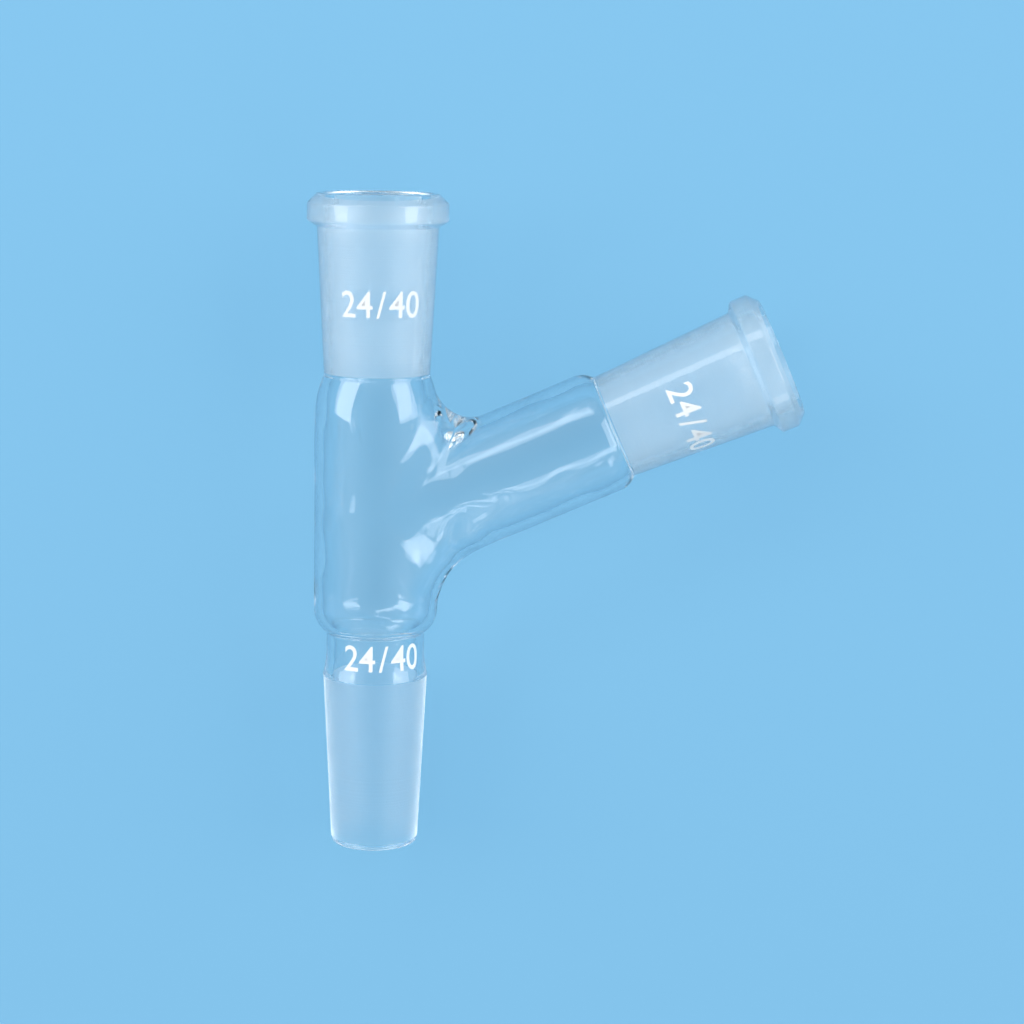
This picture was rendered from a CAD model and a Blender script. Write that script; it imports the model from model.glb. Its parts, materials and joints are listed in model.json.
"""A blown glass adapter with two ground sockets and a ground cone, lying on a pale floor.

Lengths are in millimetres in the adapter's own frame, where z runs up the main axis from the large end
of the ground cone and x points to the side arm. place() turns that frame into the row frame, in metres,
which the materials, the floor and the lamps use.
"""

import json
import math

import bmesh
import bpy
import numpy as np
from mathutils import Matrix, Vector, geometry


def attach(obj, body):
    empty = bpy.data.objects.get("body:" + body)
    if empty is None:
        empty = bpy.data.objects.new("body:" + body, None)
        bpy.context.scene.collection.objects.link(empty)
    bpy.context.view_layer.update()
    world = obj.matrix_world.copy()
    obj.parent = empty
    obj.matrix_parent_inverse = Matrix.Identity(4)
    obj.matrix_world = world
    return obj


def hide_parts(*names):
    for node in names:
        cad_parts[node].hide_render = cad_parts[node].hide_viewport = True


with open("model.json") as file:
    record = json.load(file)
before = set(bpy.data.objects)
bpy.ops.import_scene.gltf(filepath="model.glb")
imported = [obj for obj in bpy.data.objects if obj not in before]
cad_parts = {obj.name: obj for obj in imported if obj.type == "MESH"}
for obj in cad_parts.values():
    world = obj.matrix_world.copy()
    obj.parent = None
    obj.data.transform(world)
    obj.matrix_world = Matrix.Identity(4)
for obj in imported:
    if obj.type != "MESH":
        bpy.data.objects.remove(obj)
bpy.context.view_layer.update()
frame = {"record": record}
mounts = {m["name"]: m for m in frame["record"]["mounts"]}

# ---- sizes -------------------------------------------------------------------------------------

JOINT_R = mounts["ground_cone"]["dims"]["r_mm"]
JOINT_LEN = mounts["ground_cone"]["dims"]["length_mm"]
TAPER = 0.05                       # change of radius for each unit of length
SMALL_R = JOINT_R - JOINT_LEN * TAPER
SOCKET_WALL = 2.1
CONE_WALL = 1.9
GROUND_STEP = 0.1

RIM_RISE = 1.1
BEAD_LEN = 7.5
BEAD_OUT = 2.25
BEAD_SLOPE = 1.3
BEAD_CHAMFER = 2.3
BEAD_ROUND = 0.8
RIM_ROUND = 0.8
POLISHED = 1.0                     # how far below its mouth a socket's bore is clear again

BODY_R = 14.2
ARM_R = 14.0
TUBE_WALL = 2.1
BODY_LEN = 59.5
UPPER_SHOULDER = 10.1
LOWER_SHOULDER = 5.3

NECK_LEN = 10.1
WAIST_LEN = 3.9
WAIST_DRAW = 0.8
NECK_WALL = 1.8

ARM_HEIGHT = 24.6
ARM_LEN = 59.2
ARM_SHOULDER = 4.0
CROTCH_R = 8.5
HEEL_R = 17.0
CROTCH_FILL = 0.6                  # share of the bore's blend above the arm that thick glass fills

SOCKET_LEN = JOINT_LEN + RIM_RISE
BODY_TOP = NECK_LEN + BODY_LEN
ARM_Z = NECK_LEN + ARM_HEIGHT
NECK_R = JOINT_R + GROUND_STEP - WAIST_DRAW
TIP_ROUND = CONE_WALL / 2

# ---- mesh density ------------------------------------------------------------------------------

TURNS = 192                        # columns round each tube
WINDOW = 58                        # columns each side of the arm that are fitted to the seal
WALL_ROW = 1.4                     # height of a row in the fitted part of the body
SEAL_STEPS = 20                    # rows across the seal
ARM_ROWS = 24                      # rows along the arm's wall
EDGE_SHARE = 0.02                  # the short rows each side of the edge that the seal leaves in the bore
KEEP_OFF = 0.35                    # how near the seal a corner of the fitted rows may come
BODY_MARGIN = 0.2                  # a piece of outline is on the body if it stays this far within its ends
MERGE_PER_MM = 5000                # corners that share this grid are one vertex

LEAST_CREASE = math.radians(1.5)   # a smaller turn is left as it is
CREASE = 0.45                      # how far each side of a crease its rounding reaches
SOFT_EDGE = 1.6                    # the same where clear glass stands out in an edge
CREASE_ROOM = 0.4                  # the most that it takes of a piece's length

CLEAR, GROUND_CONE, GROUND_UPPER, GROUND_SIDE = 0, 1, 2, 3

# ---- the adapter's own frame, found from its mounts ---------------------------------------------

ORIGIN = np.array(mounts["ground_cone"]["pos_m"]) * 1000
UP = np.array(mounts["upper_socket"]["axis"])
ARM = np.array(mounts["side_socket"]["axis"])
DEEP = np.cross(UP, ARM)
DEEP /= np.linalg.norm(DEEP)
RIGHT = np.cross(DEEP, UP)
AXES = np.array([RIGHT, DEEP, UP])
ARM_ANGLE = math.acos(float(UP @ ARM))


def place(points):
    """Points in the adapter's frame, in millimetres, as points in the row frame, in metres."""
    return (np.asarray(points) @ AXES + ORIGIN) / 1000


def turned(vectors):
    """Directions in the adapter's frame as directions in the row frame."""
    return np.asarray(vectors) @ AXES


# ---- paths in the half plane [radius, height] ----------------------------------------------------
# A piece of a path is (points, normals, zone). Paths run up the outside, over the rim and down the bore,
# so the glass lies on their left and every normal points out of the glass.


def outward(direction):
    """The normal on the right of a direction of travel."""
    return np.array([direction[1], -direction[0]]) / np.hypot(*direction)


def line(a, b, zone=CLEAR, rows=1):
    a, b = np.array(a, float), np.array(b, float)
    t = np.linspace(0, 1, rows + 1)[:, None]
    return a + (b - a) * t, np.repeat([outward(b - a)], rows + 1, 0), zone


def arc(centre, a, b, rows, zone=CLEAR):
    """The shorter arc about centre from a to b."""
    centre, a, b = (np.array(v, float) for v in (centre, a, b))
    start = math.atan2(*(a - centre)[::-1])
    sweep = (math.atan2(*(b - centre)[::-1]) - start + math.pi) % (2 * math.pi) - math.pi
    angles = start + sweep * np.linspace(0, 1, rows + 1)
    spokes = np.stack([np.cos(angles), np.sin(angles)], 1)
    side = 1 if spokes[0] @ outward(b - a) > 0 else -1
    return centre + spokes * np.hypot(*(a - centre)), spokes * side, zone


def bend_radius(p, q):
    """Radius of the bend that leaves p along the axis and ends at q."""
    return ((q[1] - p[1]) ** 2 + (q[0] - p[0]) ** 2) / (2 * abs(q[0] - p[0]))


def bend(p, q, rows, back=False):
    """The bend that leaves p along the axis and ends at q, or the same bend from q to p."""
    centre = (p[0] + math.copysign(bend_radius(p, q), q[0] - p[0]), p[1])
    return arc(centre, q, p, rows) if back else arc(centre, p, q, rows)


def rounded(corners, radius, rows=6):
    """Straight pieces through the corners, with an arc at each inner one."""
    pieces, at = [], np.array(corners[0], float)
    for before, c, after in zip(corners, corners[1:], corners[2:]):
        before, c, after = (np.array(v, float) for v in (before, c, after))
        u = (before - c) / np.hypot(*(before - c))
        v = (after - c) / np.hypot(*(after - c))
        half = math.acos(float(u @ v)) / 2
        centre = c + (u + v) / np.hypot(*(u + v)) * radius / math.sin(half)
        start, end = c + u * radius / math.tan(half), c + v * radius / math.tan(half)
        pieces += [line(at, start), arc(centre, start, end, rows)]
        at = end
    return pieces + [line(at, corners[-1])]


def cut(piece, distance, from_end):
    """A piece shortened by a distance at one end."""
    points, normals, zone = piece
    if from_end:
        points, normals = points[::-1], normals[::-1]
    run = np.concatenate([[0], np.cumsum(np.hypot(*np.diff(points, axis=0).T))])
    keep = run > distance + 1e-6
    first = [np.interp(distance, run, column) for column in np.hstack([points, normals]).T]
    points = np.vstack([first[:2], points[keep]])
    normals = np.vstack([first[2:], normals[keep]])
    normals /= np.hypot(*normals.T)[:, None]
    if from_end:
        points, normals = points[::-1], normals[::-1]
    return points, normals, zone


def softened(pieces, closed):
    """The same path with a small rounding at each crease, as fire polishing leaves it."""
    pieces = list(pieces)
    result = []
    count = len(pieces)
    for i in range(count if closed else count - 1):
        k = (i + 1) % count
        a, b = pieces[i], pieces[k]
        if a[1][-1] @ b[1][0] > math.cos(LEAST_CREASE):
            continue
        turn = a[1][-1][0] * b[1][0][1] - a[1][-1][1] * b[1][0][0]
        reach = SOFT_EDGE if turn > 0 and a[2] == b[2] == CLEAR else CREASE
        room = min(reach, *(CREASE_ROOM * np.hypot(*(p[0][-1] - p[0][0])) for p in (a, b)))
        corner = a[0][-1]
        pieces[i], pieces[k] = cut(a, room, True), cut(b, room, False)
        start, end = pieces[i][0][-1], pieces[k][0][0]
        t = np.linspace(0, 1, 5)[:, None]
        points = start * (1 - t) ** 2 + corner * 2 * t * (1 - t) + end * t**2
        normals = pieces[i][1][-1] * (1 - t) + pieces[k][1][0] * t
        normals /= np.hypot(*normals.T)[:, None]
        result.append((i, (points, normals, CLEAR)))
    for i, piece in reversed(result):
        pieces.insert(i + 1, piece)
    return pieces


# ---- outlines ------------------------------------------------------------------------------------


def socket(foot, ground):
    """A ground socket whose small end is at the height foot: outside, rim, then bore."""
    top = foot + SOCKET_LEN
    bead_z = foot + SOCKET_LEN - BEAD_LEN
    wall_r = SMALL_R + (SOCKET_LEN - BEAD_LEN) * TAPER + SOCKET_WALL
    bead_r = wall_r + BEAD_OUT
    bead = [
        (wall_r, bead_z),
        (bead_r, bead_z + BEAD_SLOPE),
        (bead_r, top - BEAD_CHAMFER),
        (bead_r - BEAD_CHAMFER, top),
        (JOINT_R + RIM_ROUND, top),
    ]
    edge = (JOINT_R, top - RIM_ROUND)
    grit_from = (JOINT_R - POLISHED * TAPER, foot + JOINT_LEN - POLISHED)
    return [
        line((SMALL_R + SOCKET_WALL, foot), (wall_r, bead_z), rows=10),
        *rounded(bead, BEAD_ROUND),
        arc((JOINT_R + RIM_ROUND, top - RIM_ROUND), bead[-1], edge, 6),
        line(edge, (JOINT_R, foot + JOINT_LEN)),
        line((JOINT_R, foot + JOINT_LEN), grit_from),
        line(grit_from, (SMALL_R, foot), ground, 10),
    ]


LOWER_Z = NECK_LEN + LOWER_SHOULDER
UPPER_Z = BODY_TOP - UPPER_SHOULDER
THROAT = NECK_R - NECK_WALL

OUTER = {                          # where the body's wall bends, outside and in the bore
    "r": BODY_R,
    "low": (NECK_R, NECK_LEN),
    "high": (SMALL_R + SOCKET_WALL, BODY_TOP),
}
INNER = {
    "r": BODY_R - TUBE_WALL,
    "low": (THROAT, NECK_LEN + TUBE_WALL / 2),
    "high": (SMALL_R, BODY_TOP),
}


def body_wall(side):
    """The lower shoulder, the wall and the upper shoulder of the body, from the bottom to the top."""
    rows = round((UPPER_Z - LOWER_Z) / WALL_ROW)
    return [
        bend((side["r"], LOWER_Z), side["low"], 10, back=True),
        line((side["r"], LOWER_Z), (side["r"], UPPER_Z), rows=rows),
        bend((side["r"], UPPER_Z), side["high"], 12),
    ]


def flipped(pieces):
    """The same pieces run the other way, with the glass on the other side."""
    return [(points[::-1], -normals[::-1], zone) for points, normals, zone in reversed(pieces)]


def main_path():
    """The whole outline of the main tube, closed."""
    low_end = -JOINT_LEN + TIP_ROUND
    tip_r = JOINT_R + low_end * TAPER - TIP_ROUND
    centre = (tip_r, low_end)
    tip_out, tip_in = (tip_r + TIP_ROUND, low_end), (tip_r - TIP_ROUND, low_end)
    collar = (JOINT_R + GROUND_STEP, GROUND_STEP)
    waist_z = NECK_LEN - WAIST_LEN
    outer, inner = body_wall(OUTER), flipped(body_wall(INNER))
    return softened(
        [
            arc(centre, (tip_r, -JOINT_LEN), tip_out, 6),
            line(tip_out, (JOINT_R, 0), GROUND_CONE, 12),
            line((JOINT_R, 0), collar),
            bend((NECK_R, waist_z), collar, 8, back=True),
            line((NECK_R, waist_z), OUTER["low"], rows=2),
            *outer,
            *socket(BODY_TOP, GROUND_UPPER),
            *inner,
            line(INNER["low"], (THROAT, waist_z), rows=2),
            bend((THROAT, waist_z), (JOINT_R - CONE_WALL, 0), 8),
            line((JOINT_R - CONE_WALL, 0), tip_in, rows=12),
            arc(centre, tip_in, (tip_r, -JOINT_LEN), 6),
        ],
        closed=True,
    )


def arm_path():
    """The outline of the arm from the end of its outer wall, over the rim, to the end of its bore."""
    foot = ARM_LEN - ARM_SHOULDER
    bore_r = ARM_R - TUBE_WALL
    return softened(
        [
            bend((ARM_R, foot), (SMALL_R + SOCKET_WALL, ARM_LEN), 10),
            *socket(ARM_LEN, GROUND_SIDE),
            bend((bore_r, foot), (SMALL_R, ARM_LEN), 10, back=True),
        ],
        closed=False,
    )


# ---- the seal, as a ball leaves it that rolls in the corner between body and arm -----------------

WAY = np.array([math.sin(ARM_ANGLE), 0, math.cos(ARM_ANGLE)])
ARM_UP = np.array([-math.cos(ARM_ANGLE), 0, math.sin(ARM_ANGLE)])
SIDE = np.array([0.0, 1.0, 0.0])
AXIS = np.array([0.0, 0.0, 1.0])
ARM_ROOT = AXIS * ARM_Z
angles = 2 * np.pi * np.arange(TURNS) / TURNS
ROUND_ARM = np.outer(np.cos(angles), ARM_UP) + np.outer(np.sin(angles), SIDE)
ABOVE = (1 + np.cos(angles)) / 2   # 1 above the arm, 0 below it
ball_r = HEEL_R + (CROTCH_R - HEEL_R) * ABOVE


def arm_point(r, s):
    """Points at distances r from the arm's axis and s along it, one for each column."""
    return ARM_ROOT + np.outer(s, WAY) + ROUND_ARM * np.asarray(r)[:, None]


def wall_centres(side, p):
    """For each point, the nearest centre that the body's wall is curved about, and the curve's radius."""
    out = np.hypot(p[:, 0], p[:, 1])
    low = bend_radius((side["r"], LOWER_Z), side["low"])
    high = bend_radius((side["r"], UPPER_Z), side["high"])
    a = np.where(p[:, 2] < LOWER_Z, low, np.where(p[:, 2] > UPPER_Z, high, 0))
    ring = np.where(a > 0, (side["r"] - a) / out, 0)
    centre = np.stack([p[:, 0] * ring, p[:, 1] * ring, np.clip(p[:, 2], LOWER_Z, UPPER_Z)], 1)
    return centre, np.where(a > 0, a, side["r"])


def reach(side, r, gap):
    """How far along the arm a line beside its axis, at a distance r, is a given gap from the body."""
    low, high = np.zeros(TURNS), np.full(TURNS, ARM_LEN)
    for _ in range(50):
        mid = (low + high) / 2
        p = arm_point(r, mid)
        centre, radius = wall_centres(side, p)
        near = np.linalg.norm(p - centre, axis=1) - radius < gap
        low, high = np.where(near, mid, low), np.where(near, high, mid)
    return (low + high) / 2


def seal(side, arm_r, wall):
    """The points and normals of the seal, column by column from the body to the arm."""
    ball, wall_r = ball_r + wall, np.full(TURNS, arm_r)
    s = reach(side, arm_r + ball, ball)
    ball_at = arm_point(arm_r + ball, s)
    away = ball_at - wall_centres(side, ball_at)[0]
    away /= np.linalg.norm(away, axis=1)[:, None]
    start = ball_at - away * ball[:, None]
    drawn_back = CROTCH_FILL * ABOVE * (s - reach(side, wall_r, 0)) if wall else 0
    end = arm_point(wall_r, s - drawn_back)
    chord = end - start
    bow = (np.sum(chord * chord, axis=1) / (2 * np.sum(chord * away, axis=1)))[:, None]
    centre = start + away * bow
    out = (centre - end) / bow
    span = np.arccos(np.sum(away * out, axis=1))[:, None, None]
    a = span * np.append(np.linspace(0, 1, SEAL_STEPS)[:-1], [1 - EDGE_SHARE, 1])[None, :, None]
    u, v, r = away[:, None], out[:, None], bow[:, None] / np.sin(span)
    spokes = r * (u * np.sin(span - a) + v * np.sin(a))
    points = centre[:, None] - spokes
    across = r * (u * np.cos(span - a) - v * np.cos(a))
    along = np.roll(points, -1, 0) - np.roll(points, 1, 0)
    normals = np.cross(along, across)
    normals /= np.linalg.norm(normals, axis=2)[:, :, None]
    facing = np.sign(np.sum(normals * spokes, axis=2))[:, :, None]
    return points, normals * facing * (-1 if wall else 1)


# ---- faces: corner positions, corner normals and a zone for each ----------------------------------

faces = []


def add_grid(points, normals, zone, flip=False, wrap=True):
    """Quads over a grid of [column, row] points."""
    after = np.roll(np.arange(len(points)), -1)
    columns = np.arange(len(points) if wrap else len(points) - 1)
    for i in columns:
        k = after[i]
        for j in range(points.shape[1] - 1):
            order = [(i, j), (k, j), (k, j + 1), (i, j + 1)]
            if flip:
                order.reverse()
            faces.append(([points[c] for c in order], [normals[c] for c in order], zone))


def spun(piece, turn_angles):
    """The points and normals of a piece of path turned round the main axis, as [column, row]."""
    points, normals, _ = piece
    c, s = np.cos(turn_angles)[:, None], np.sin(turn_angles)[:, None]
    one = np.ones_like(c)
    return (
        np.stack([c * points[:, 0], s * points[:, 0], one * points[:, 1]], 2),
        np.stack([c * normals[:, 0], s * normals[:, 0], one * normals[:, 1]], 2),
    )


def inside(polygon, points):
    """Whether each point lies inside a closed polygon, and its distance from the polygon's corners."""
    a, b = polygon, np.roll(polygon, -1, 0)
    x, y = points[:, 0:1], points[:, 1:2]
    spans = (a[:, 1] > y) != (b[:, 1] > y)
    crossing = a[:, 0] + (y - a[:, 1]) / (b[:, 1] - a[:, 1] + 1e-12) * (b[:, 0] - a[:, 0])
    hit = (spans & (x < crossing)).sum(1) % 2 == 1
    near = np.sqrt(((points[:, None] - a[None]) ** 2).sum(2)).min(1)
    return hit, near


def add_fitted(pieces, rail, rail_normals, outside):
    """The part of the body's wall on the arm's side, fitted round the edge of the seal."""
    columns = np.arange(-WINDOW, WINDOW + 1)
    column_angles = 2 * np.pi * columns / TURNS
    rows = [spun(p, column_angles) for p in pieces]
    points = np.concatenate([rows[0][0][:, :1]] + [p[:, 1:] for p, _ in rows], 1)
    normals = np.concatenate([rows[0][1][:, :1]] + [n[:, 1:] for _, n in rows], 1)
    heights = points[0, :, 2]
    flat = np.stack(np.broadcast_arrays(column_angles[:, None] * BODY_R, heights[None]), 2)
    edge = np.zeros(flat.shape[:2], bool)
    edge[[0, -1]] = True
    edge[:, [0, -1]] = True
    hole = np.stack([np.arctan2(rail[:, 1], rail[:, 0]) * BODY_R, rail[:, 2]], 1)
    hit, near = inside(hole, flat.reshape(-1, 2))
    keep = (edge.ravel() | (~hit & (near > KEEP_OFF))).nonzero()[0]
    uv = np.vstack([flat.reshape(-1, 2)[keep], hole])
    position = np.vstack([points.reshape(-1, 3)[keep], rail])
    normal = np.vstack([normals.reshape(-1, 3)[keep], rail_normals])
    first = len(keep)
    rim = [(first + k, first + (k + 1) % len(hole)) for k in range(len(hole))]
    _, _, triangles, origins, _, _ = geometry.delaunay_2d_cdt(
        [Vector(p) for p in uv], rim, [], 0, 1e-6
    )
    source = [o[0] for o in origins]
    corners = np.array([[source[c] for c in t] for t in triangles])
    middle = uv[corners].mean(1)
    corners = corners[~inside(hole, middle)[0]]
    edge_a, edge_b = uv[corners[:, 1]] - uv[corners[:, 0]], uv[corners[:, 2]] - uv[corners[:, 0]]
    clockwise = edge_a[:, 0] * edge_b[:, 1] - edge_a[:, 1] * edge_b[:, 0] < 0
    for triangle, swap in zip(corners, clockwise != (not outside)):
        order = triangle[::-1] if swap else triangle
        faces.append((list(position[order]), list(normal[order]), CLEAR))


def add_main_tube(outer_seal, inner_seal):
    """Every wall of the main tube."""
    fitted = {True: [], False: []}
    for piece in main_path():
        heights = piece[0][:, 1]
        if NECK_LEN + BODY_MARGIN < heights.min() and heights.max() < BODY_TOP - BODY_MARGIN:
            outside = piece[1][:, 0].mean() > 0
            fitted[outside].append(piece)
            first, last = WINDOW, TURNS - WINDOW
            points, normals = spun(piece, angles[first : last + 1])
            add_grid(points, normals, piece[2], wrap=False)
        else:
            points, normals = spun(piece, angles)
            add_grid(points, normals, piece[2])
    add_fitted(fitted[True], outer_seal[0][:, 0], outer_seal[1][:, 0], outside=True)
    add_fitted(fitted[False], inner_seal[0][:, 0], inner_seal[1][:, 0], outside=False)


def add_arm(outer_seal, inner_seal):
    """Every wall of the arm, from the seal outwards."""
    to_arm = np.array([ARM_UP, SIDE, WAY])

    def on_arm(piece):
        points, normals = spun(piece, angles)
        return points @ to_arm + ARM_ROOT, normals @ to_arm

    path = arm_path()
    for piece in path:
        points, normals = on_arm(piece)
        add_grid(points, normals, piece[2], flip=True)
    for (points, normals), end, face_out in (
        (outer_seal, on_arm(path[0])[0][:, 0], True),
        (inner_seal, on_arm(path[-1])[0][:, -1], False),
    ):
        out = np.repeat((ROUND_ARM if face_out else -ROUND_ARM)[:, None], ARM_ROWS + 1, 1)
        between = normals[:, -1] + out[:, 0]
        between /= np.linalg.norm(between, axis=1)[:, None]
        normals[:, -1] = out[:, 0] = between
        add_grid(points, normals, CLEAR, flip=face_out)
        t = np.append(0, np.linspace(EDGE_SHARE, 1, ARM_ROWS))[None, :, None]
        wall = points[:, -1:] * (1 - t) + end[:, None] * t
        add_grid(wall, out, CLEAR, flip=face_out)


# ---- the unevenness of blown glass -----------------------------------------------------------------

SEAL_AT = np.array([BODY_R, 0, ARM_Z + BODY_R / math.tan(ARM_ANGLE)])
WAVES = np.array([                 # turns per metre along x, y and z, then the phase
    [52, 31, 74, 0.4],
    [-83, 47, 35, 2.1],
    [41, -96, 58, 4.0],
    [-29, 68, -91, 5.2],
    [112, 55, -46, 1.3],
])
WAVE_HEIGHT = 0.035                # on the body and the arm
SEAL_HEIGHT = 0.26                 # more near the seal, where the tubes were worked together
SEAL_REACH = 12.5
BULGE_AT = (21.3, 38.2)            # x and z of a thick spot left on the seal, on the side that faces up
BULGE_R = 3.6
BULGE_RISE = 0.45
BULGE_DEPTH = 5.0                  # how far in front of the axes it has its full rise
FADE = 5.0                         # how far the waves take to die out towards the joints
FLOOR_FADE = 2.5                   # the same towards the floor, so that the resting points stay true


def unevenness(p):
    """How far the surface stands out of the true form at each point; the ground joints stay true."""
    along_arm = (p - ARM_ROOT) @ WAY
    from_ends = np.where(
        p[:, 0] > BODY_R,
        ARM_LEN - ARM_SHOULDER / 2 - along_arm,
        np.minimum(p[:, 2] - NECK_LEN, BODY_TOP - p[:, 2]),
    )
    above_floor = place(p)[:, 2] * 1000
    fade = np.clip(np.minimum(from_ends / FADE, above_floor / FLOOR_FADE), 0, 1)
    fade = fade * fade * (3 - 2 * fade)
    near = np.exp(-(np.linalg.norm(p - SEAL_AT, axis=1) / SEAL_REACH) ** 4)
    waves = np.sin(p @ WAVES[:, :3].T * (2 * math.pi / 1000) + WAVES[:, 3]).sum(1)
    from_bulge = np.hypot(p[:, 0] - BULGE_AT[0], p[:, 2] - BULGE_AT[1]) / BULGE_R
    bulge = BULGE_RISE * np.exp(-(from_bulge**2)) * np.clip(-p[:, 1] / BULGE_DEPTH, 0, 1)
    return fade * ((WAVE_HEIGHT + SEAL_HEIGHT * near) * waves / 2 + bulge)


def slope(p):
    """The gradient of the unevenness at each point."""
    step = 0.02
    sides = [unevenness(p + d) - unevenness(p - d) for d in np.eye(3) * step]
    return np.stack(sides, 1) / (2 * step)


def glass_mesh():
    """One closed mesh of the whole adapter, with the true normal at each corner of each face."""
    outer = seal(OUTER, ARM_R, 0)
    inner = seal(INNER, ARM_R - TUBE_WALL, TUBE_WALL)
    add_main_tube(outer, inner)
    add_arm(outer, inner)
    corners = np.array([p for points, _, _ in faces for p in points])
    normals = np.array([n for _, ns, _ in faces for n in ns])
    keys = np.round(corners * MERGE_PER_MM).astype(np.int64)
    _, first, index = np.unique(keys, axis=0, return_index=True, return_inverse=True)
    index = index.ravel()
    sizes = [len(points) for points, _, _ in faces]
    starts = np.concatenate([[0], np.cumsum(sizes)])[:-1]
    loops = [index[s : s + n] for s, n in zip(starts, sizes)]
    keep = [len(set(loop)) == len(loop) for loop in loops]
    vertices = corners[first] + normals[first] * unevenness(corners[first])[:, None]
    lean = slope(corners)
    normals = normals - lean + normals * np.sum(normals * lean, axis=1)[:, None]
    normals /= np.linalg.norm(normals, axis=1)[:, None]
    mesh = bpy.data.meshes.new("glass")
    mesh.from_pydata(place(vertices), [], [list(map(int, l)) for l, k in zip(loops, keep) if k])
    mesh.polygons.foreach_set("material_index", [f[2] for f, k in zip(faces, keep) if k])
    mesh.polygons.foreach_set("use_smooth", [True] * len(mesh.polygons))
    used = np.concatenate([np.arange(s, s + n) for s, n, k in zip(starts, sizes, keep) if k])
    mesh.normals_split_custom_set(turned(normals[used]).tolist())
    mesh.update()
    return mesh


# ---- materials -----------------------------------------------------------------------------------

GLASS_IOR = 1.473
CLEAR_TINT = ((0.98, 0.99, 0.995, 1), (0.02, 0.09, 0.24, 1))    # face on, and at the edges
CLEAR_SHADOW = ((1, 1, 1, 1), (0.05, 0.08, 0.12, 1))            # the share of light that gets through
GROUND_COLOUR = (0.92, 0.965, 0.985, 1)
GROUND_SHADOW = ((0.86, 0.9, 0.93, 1), (0.15, 0.2, 0.26, 1))
TINT_STEEPNESS = 3.2
SHADOW_STEEPNESS = 4.5

def nodes_of(name):
    """A new node material, its tree, its Principled shader and its output."""
    material = bpy.data.materials.new(name)
    material.use_nodes = True
    tree = material.node_tree
    return material, tree, tree.nodes["Principled BSDF"], tree.nodes["Material Output"]


def edge_tint(tree, target, colours, steepness):
    """A colour that goes from one face on to another at the edges, where a ray runs far inside the wall."""
    face_on, edge_on = colours
    facing = tree.nodes.new("ShaderNodeLayerWeight")
    facing.inputs["Blend"].default_value = 0.5
    steeper = tree.nodes.new("ShaderNodeMath")
    steeper.operation = "POWER"
    steeper.inputs[1].default_value = steepness
    tint = tree.nodes.new("ShaderNodeMix")
    tint.data_type = "RGBA"
    tint.inputs["A"].default_value = face_on
    tint.inputs["B"].default_value = edge_on
    tree.links.new(facing.outputs["Facing"], steeper.inputs[0])
    tree.links.new(steeper.outputs[0], tint.inputs["Factor"])
    tree.links.new(tint.outputs["Result"], target)


def let_light_through(tree, shader, output, colours):
    """Shadow rays pass the glass, and the edges stop more of them, so that its shadow stays light."""
    path = tree.nodes.new("ShaderNodeLightPath")
    pass_on = tree.nodes.new("ShaderNodeBsdfTransparent")
    mix = tree.nodes.new("ShaderNodeMixShader")
    edge_tint(tree, pass_on.inputs["Color"], colours, SHADOW_STEEPNESS)
    tree.links.new(path.outputs["Is Shadow Ray"], mix.inputs[0])
    tree.links.new(shader.outputs[0], mix.inputs[1])
    tree.links.new(pass_on.outputs[0], mix.inputs[2])
    tree.links.new(mix.outputs[0], output.inputs["Surface"])


def clear_glass():
    material, tree, shader, output = nodes_of("clear_glass")
    edge_tint(tree, shader.inputs["Base Color"], CLEAR_TINT, TINT_STEEPNESS)
    shader.inputs["Roughness"].default_value = 0.0
    shader.inputs["IOR"].default_value = GLASS_IOR
    shader.inputs["Transmission Weight"].default_value = 1.0
    let_light_through(tree, shader, output, CLEAR_SHADOW)
    return material


def ground_glass(name, axis, roughness, transmission):
    """Glass ground with fine grit, which leaves rings about its axis."""
    material, tree, shader, output = nodes_of(name)
    shader.inputs["Base Color"].default_value = GROUND_COLOUR
    shader.inputs["Roughness"].default_value = roughness
    shader.inputs["IOR"].default_value = GLASS_IOR
    shader.inputs["Transmission Weight"].default_value = transmission
    at = tree.nodes.new("ShaderNodeTexCoord")
    grain = tree.nodes.new("ShaderNodeTexNoise")
    grain.inputs["Scale"].default_value = 3600.0
    grain.inputs["Detail"].default_value = 2.0
    along = tree.nodes.new("ShaderNodeVectorMath")
    along.operation = "DOT_PRODUCT"
    along.inputs[1].default_value = tuple(axis)
    rings = tree.nodes.new("ShaderNodeTexNoise")
    rings.noise_dimensions = "1D"
    rings.inputs["Scale"].default_value = 1900.0
    rings.inputs["Detail"].default_value = 3.0
    both = tree.nodes.new("ShaderNodeMath")
    both.operation = "ADD"
    bump = tree.nodes.new("ShaderNodeBump")
    bump.inputs["Strength"].default_value = 0.35
    bump.inputs["Distance"].default_value = 0.0001
    tree.links.new(at.outputs["Object"], grain.inputs["Vector"])
    tree.links.new(at.outputs["Object"], along.inputs[0])
    tree.links.new(along.outputs["Value"], rings.inputs["W"])
    tree.links.new(grain.outputs["Fac"], both.inputs[0])
    tree.links.new(rings.outputs["Fac"], both.inputs[1])
    tree.links.new(both.outputs[0], bump.inputs["Height"])
    tree.links.new(bump.outputs["Normal"], shader.inputs["Normal"])
    let_light_through(tree, shader, output, GROUND_SHADOW)
    return material


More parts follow.
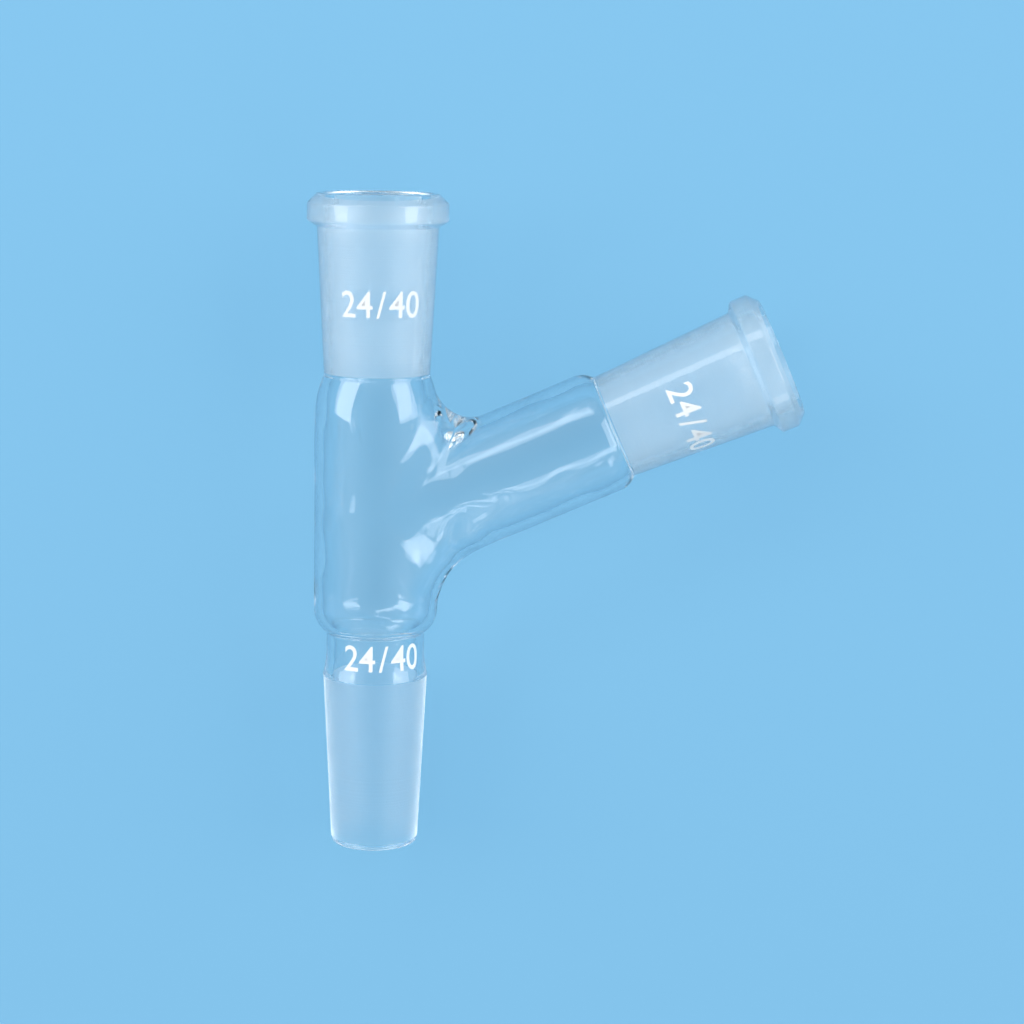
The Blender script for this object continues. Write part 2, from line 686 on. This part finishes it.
def enamel():
    """White enamel, fired on, a little grainy."""
    material, tree, shader, _ = nodes_of("white_enamel")
    shader.inputs["Base Color"].default_value = (0.97, 0.975, 0.98, 1)
    at = tree.nodes.new("ShaderNodeTexCoord")
    grain = tree.nodes.new("ShaderNodeTexNoise")
    grain.inputs["Scale"].default_value = 5000.0
    sheen = tree.nodes.new("ShaderNodeMapRange")
    sheen.inputs["To Min"].default_value = 0.3
    sheen.inputs["To Max"].default_value = 0.6
    bump = tree.nodes.new("ShaderNodeBump")
    bump.inputs["Strength"].default_value = 0.15
    bump.inputs["Distance"].default_value = 0.00003
    tree.links.new(at.outputs["Object"], grain.inputs["Vector"])
    tree.links.new(grain.outputs["Fac"], sheen.inputs["Value"])
    tree.links.new(sheen.outputs["Result"], shader.inputs["Roughness"])
    tree.links.new(grain.outputs["Fac"], bump.inputs["Height"])
    tree.links.new(bump.outputs["Normal"], shader.inputs["Normal"])
    return material


ENAMEL = enamel()

# ---- glass ---------------------------------------------------------------------------------------

glass = bpy.data.objects.new("glass_adapter", glass_mesh())
bpy.context.scene.collection.objects.link(glass)
for finish in (                    # in the order of the zones
    clear_glass(),
    ground_glass("ground_cone", UP, roughness=0.5, transmission=1.0),
    ground_glass("ground_upper_socket", UP, roughness=0.55, transmission=0.91),
    ground_glass("ground_side_socket", ARM, roughness=0.55, transmission=0.91),
):
    glass.data.materials.append(finish)
glass.visible_diffuse = False
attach(glass, "root")
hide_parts("glass_body")

# ---- the joint size, printed in enamel --------------------------------------------------------------

MARK = "24 / 40"
MARK_WIDTH = 18.6
MARK_HEIGHT = 6.0
MARK_BOLD = 0.006                  # how far the letters' outlines are moved out, in letter heights
WORD_SPACE = 0.3                   # width of the two spaces, of the usual one
PROUD = 0.035                      # thickness of the enamel above the glass
SUNK = 0.02                        # how far the enamel reaches into the glass, which leaves no gap
CELL = 0.4                         # longest side of a facet along the curve


def letter_mesh():
    """The mark as a flat closed solid, its middle at the origin, with z from -1 to 1."""
    curve = bpy.data.curves.new("mark", "FONT")
    curve.body = MARK
    curve.offset = MARK_BOLD
    curve.extrude = 1.0
    curve.space_word = WORD_SPACE
    curve.resolution_u = 6
    letters = bpy.data.objects.new("mark", curve)
    bpy.context.scene.collection.objects.link(letters)
    mesh = bpy.data.meshes.new_from_object(letters.evaluated_get(bpy.context.evaluated_depsgraph_get()))
    bpy.data.objects.remove(letters)
    bpy.data.curves.remove(curve)
    flat = bmesh.new()
    flat.from_mesh(mesh)
    bpy.data.meshes.remove(mesh)
    at = np.array([v.co for v in flat.verts])
    low, high = at.min(0), at.max(0)
    scale = np.array([MARK_WIDTH, MARK_HEIGHT]) / (high - low)[:2]
    for vert, point in zip(flat.verts, at):
        x, y = (point[:2] - (low + high)[:2] / 2) * scale
        vert.co = (x, y, point[2])
    bmesh.ops.remove_doubles(flat, verts=flat.verts, dist=1e-4)
    for axis, reach in ((0, MARK_WIDTH / 2), (1, MARK_HEIGHT / 2)):
        normal = [0, 0, 0]
        normal[axis] = 1
        for cut_at in np.arange(-reach + CELL, reach, CELL * (1 + 2 * axis)):
            spot = [0, 0, 0]
            spot[axis] = cut_at
            geom = flat.verts[:] + flat.edges[:] + flat.faces[:]
            bmesh.ops.bisect_plane(flat, geom=geom, dist=1e-5, plane_co=spot, plane_no=normal)
    bmesh.ops.triangulate(flat, faces=flat.faces)
    bmesh.ops.dissolve_degenerate(flat, edges=flat.edges, dist=1e-3)
    bmesh.ops.recalc_face_normals(flat, faces=flat.faces)
    return flat


def outline_radius(pieces):
    """The radius of the outside at any height, from a path's pieces."""
    points = np.vstack([p for p, n, _ in pieces if n[:, 0].mean() > 0.5])
    points = points[np.argsort(points[:, 1], kind="stable")]
    return lambda z: np.interp(z, points[:, 1], points[:, 0])


def add_mark(name, axis, start, radius, height, turn):
    """Print the mark round a tube, its middle at a height and turned from the side that faces up."""
    faced = -SIDE
    reading = np.cross(axis, faced)
    flat = letter_mesh()
    for vert in flat.verts:
        x, y, z = vert.co
        r = float(radius(height + y))
        around = turn + x / float(radius(height))
        r += PROUD if z > 0 else -SUNK
        point = start + axis * (height + y) + r * (faced * math.cos(around) + reading * math.sin(around))
        vert.co = Vector(place(point))
    mesh = bpy.data.meshes.new(name)
    flat.to_mesh(mesh)
    flat.free()
    mesh.polygons.foreach_set("use_smooth", [True] * len(mesh.polygons))
    mesh.set_sharp_from_angle(angle=math.radians(40))
    mesh.materials.append(ENAMEL)
    piece = bpy.data.objects.new(name, mesh)
    bpy.context.scene.collection.objects.link(piece)
    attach(piece, "root")


SOCKET_MARK = 17.0                 # height of the mark's middle above the small end of a socket
NECK_MARK = 5.8                    # the same above the large end of the cone

socket_r = outline_radius(socket(0, GROUND_UPPER))
neck_r = outline_radius([p for p in main_path() if p[0][:, 1].max() < NECK_LEN + 0.1])
side_foot = ARM_ROOT + WAY * ARM_LEN
add_mark("print_upper_socket", AXIS, AXIS * BODY_TOP, socket_r, SOCKET_MARK, turn=math.radians(8))
add_mark("print_neck", AXIS, np.zeros(3), neck_r, NECK_MARK, turn=math.radians(14))
add_mark("print_side_socket", WAY, side_foot, socket_r, SOCKET_MARK, turn=math.radians(20))

# ---- floor, light and camera -----------------------------------------------------------------------

FLOOR_COLOUR = (0.225, 0.51, 0.75, 1)
BACKDROP = (0.36, 0.64, 0.84, 1)   # what the camera sees past the floor
HALF = 4.0                         # half the floor's width
AIM = Vector((0, 0, 0.015))        # the middle of the adapter, which the lamps face

floor_mesh = bpy.data.meshes.new("floor")
floor_mesh.from_pydata(
    [(-HALF, -HALF, 0), (HALF, -HALF, 0), (HALF, HALF, 0), (-HALF, HALF, 0)], [], [(0, 1, 2, 3)]
)
floor = bpy.data.objects.new("floor", floor_mesh)
bpy.context.scene.collection.objects.link(floor)
floor_material, _, floor_shader, _ = nodes_of("floor")
floor_shader.inputs["Base Color"].default_value = FLOOR_COLOUR
floor_shader.inputs["Roughness"].default_value = 0.8
floor_shader.inputs["Specular IOR Level"].default_value = 0.1
floor_mesh.materials.append(floor_material)


def softbox(name, centre, width, height, radiance):
    """A rectangular lamp that faces the adapter, as bright as radiance seen straight on."""
    data = bpy.data.lights.new(name, "AREA")
    data.shape = "RECTANGLE"
    data.size, data.size_y = width, height
    data.energy = radiance * math.pi * width * height
    lamp = bpy.data.objects.new(name, data)
    lamp.location = centre
    lamp.rotation_euler = (AIM - Vector(centre)).to_track_quat("-Z", "Y").to_euler()
    lamp.visible_camera = False
    bpy.context.scene.collection.objects.link(lamp)


softbox("left_softbox", (-2.20, 0.80, 1.15), 1.95, 1.80, radiance=4.0)
softbox("right_softbox", (2.20, 0.80, 1.15), 1.95, 1.80, radiance=4.0)
softbox("back_softbox", (-0.90, 2.35, 1.80), 1.90, 0.70, radiance=3.6)
softbox("front_softbox", (1.50, -2.15, 1.60), 1.10, 0.70, radiance=2.8)

HORIZON = [                        # from the front, below the cone, to the back, above the sockets
    (0.0, (0.60, 0.80, 0.92)),
    (0.4, (0.22, 0.40, 0.58)),
    (1.0, (0.02, 0.07, 0.18)),
]
SKY = [                            # the sine of the height above the horizon, and the colour there
    (0.4, (0.9, 0.97, 1.0)),
    (0.8, (0.70, 0.80, 0.86)),
    (1.0, (0.52, 0.68, 0.80)),
]
HAZE = (0.05, 0.4)                 # sines between which the horizon's colour gives way to the sky's
SKY_STRENGTH = 0.6

world = bpy.data.worlds.new("studio")
bpy.context.scene.world = world
world.use_nodes = True
tree = world.node_tree


def ramp(stops):
    """A colour ramp through the stops."""
    node = tree.nodes.new("ShaderNodeValToRGB")
    while len(node.color_ramp.elements) < len(stops):
        node.color_ramp.elements.new(0.5)
    for element, (at, colour) in zip(node.color_ramp.elements, stops):
        element.position = at
        element.color = (*colour, 1)
    return node


def spread(low, high):
    """The range from low to high, spread over 0 to 1."""
    node = tree.nodes.new("ShaderNodeMapRange")
    node.inputs["From Min"].default_value = low
    node.inputs["From Max"].default_value = high
    return node


background = tree.nodes["Background"]
background.inputs["Strength"].default_value = SKY_STRENGTH
direction = tree.nodes.new("ShaderNodeTexCoord")
parts = tree.nodes.new("ShaderNodeSeparateXYZ")
sky, horizon = ramp(SKY), ramp(HORIZON)
front_to_back, height = spread(-1, 1), spread(*HAZE)
blend = tree.nodes.new("ShaderNodeMix")
blend.data_type = "RGBA"
path = tree.nodes.new("ShaderNodeLightPath")
seen = tree.nodes.new("ShaderNodeBackground")
seen.inputs["Color"].default_value = BACKDROP
mix = tree.nodes.new("ShaderNodeMixShader")
for source, target in (
    (direction.outputs["Generated"], parts.inputs[0]),
    (parts.outputs["Y"], front_to_back.inputs["Value"]),
    (parts.outputs["Z"], height.inputs["Value"]),
    (parts.outputs["Z"], sky.inputs["Fac"]),
    (front_to_back.outputs["Result"], horizon.inputs["Fac"]),
    (height.outputs["Result"], blend.inputs["Factor"]),
    (horizon.outputs["Color"], blend.inputs["A"]),
    (sky.outputs["Color"], blend.inputs["B"]),
    (blend.outputs["Result"], background.inputs["Color"]),
    (path.outputs["Is Camera Ray"], mix.inputs[0]),
    (background.outputs[0], mix.inputs[1]),
    (seen.outputs[0], mix.inputs[2]),
    (mix.outputs[0], tree.nodes["World Output"].inputs["Surface"]),
):
    tree.links.new(source, target)

# The camera is placed in the adapter's frame, with x to the right, z up and y into the picture.
PICTURE = 1024                     # width of the picture that the focal length is counted in
FOCAL_PX = 2447.0
LOOK_DOWN = math.radians(9.812)
ROLL = math.radians(-0.928)
LOOK_ASIDE = math.radians(-1.128)
SHIFT = np.array([-31.789, -37.378, 568.472])    # the frame's origin as the camera has it: right, up, away

aside = np.array([
    [math.cos(LOOK_ASIDE), 0, math.sin(LOOK_ASIDE)],
    [0, 1, 0],
    [-math.sin(LOOK_ASIDE), 0, math.cos(LOOK_ASIDE)],
])
down = np.array([
    [1, 0, 0],
    [0, math.cos(LOOK_DOWN), -math.sin(LOOK_DOWN)],
    [0, -math.sin(LOOK_DOWN), -math.cos(LOOK_DOWN)],
])
rolled = np.array([
    [math.cos(ROLL), -math.sin(ROLL), 0],
    [math.sin(ROLL), math.cos(ROLL), 0],
    [0, 0, 1],
])
view = rolled @ down @ aside       # rows: right, up and away, over the axes right, up and towards
towards_camera = np.array([[1, 0, 0], [0, 0, 1], [0, -1, 0]])
camera_axes = view @ towards_camera
eye = place(-camera_axes.T @ SHIFT)
right, up, far = turned(camera_axes)
camera_data = bpy.data.cameras.new("camera")
camera_data.sensor_width = 36.0
camera_data.lens = FOCAL_PX / PICTURE * camera_data.sensor_width
camera = bpy.data.objects.new("camera", camera_data)
camera.matrix_world = Matrix([
    [right[0], up[0], -far[0], eye[0]],
    [right[1], up[1], -far[1], eye[1]],
    [right[2], up[2], -far[2], eye[2]],
    [0, 0, 0, 1],
])
bpy.context.scene.collection.objects.link(camera)
bpy.context.scene.camera = camera
bpy.context.scene.view_settings.view_transform = "Standard"

BOUNCES = 32                       # light that is caught in thick glass turns many times before it leaves
cycles = bpy.context.scene.cycles
cycles.max_bounces = cycles.glossy_bounces = cycles.transmission_bounces = BOUNCES
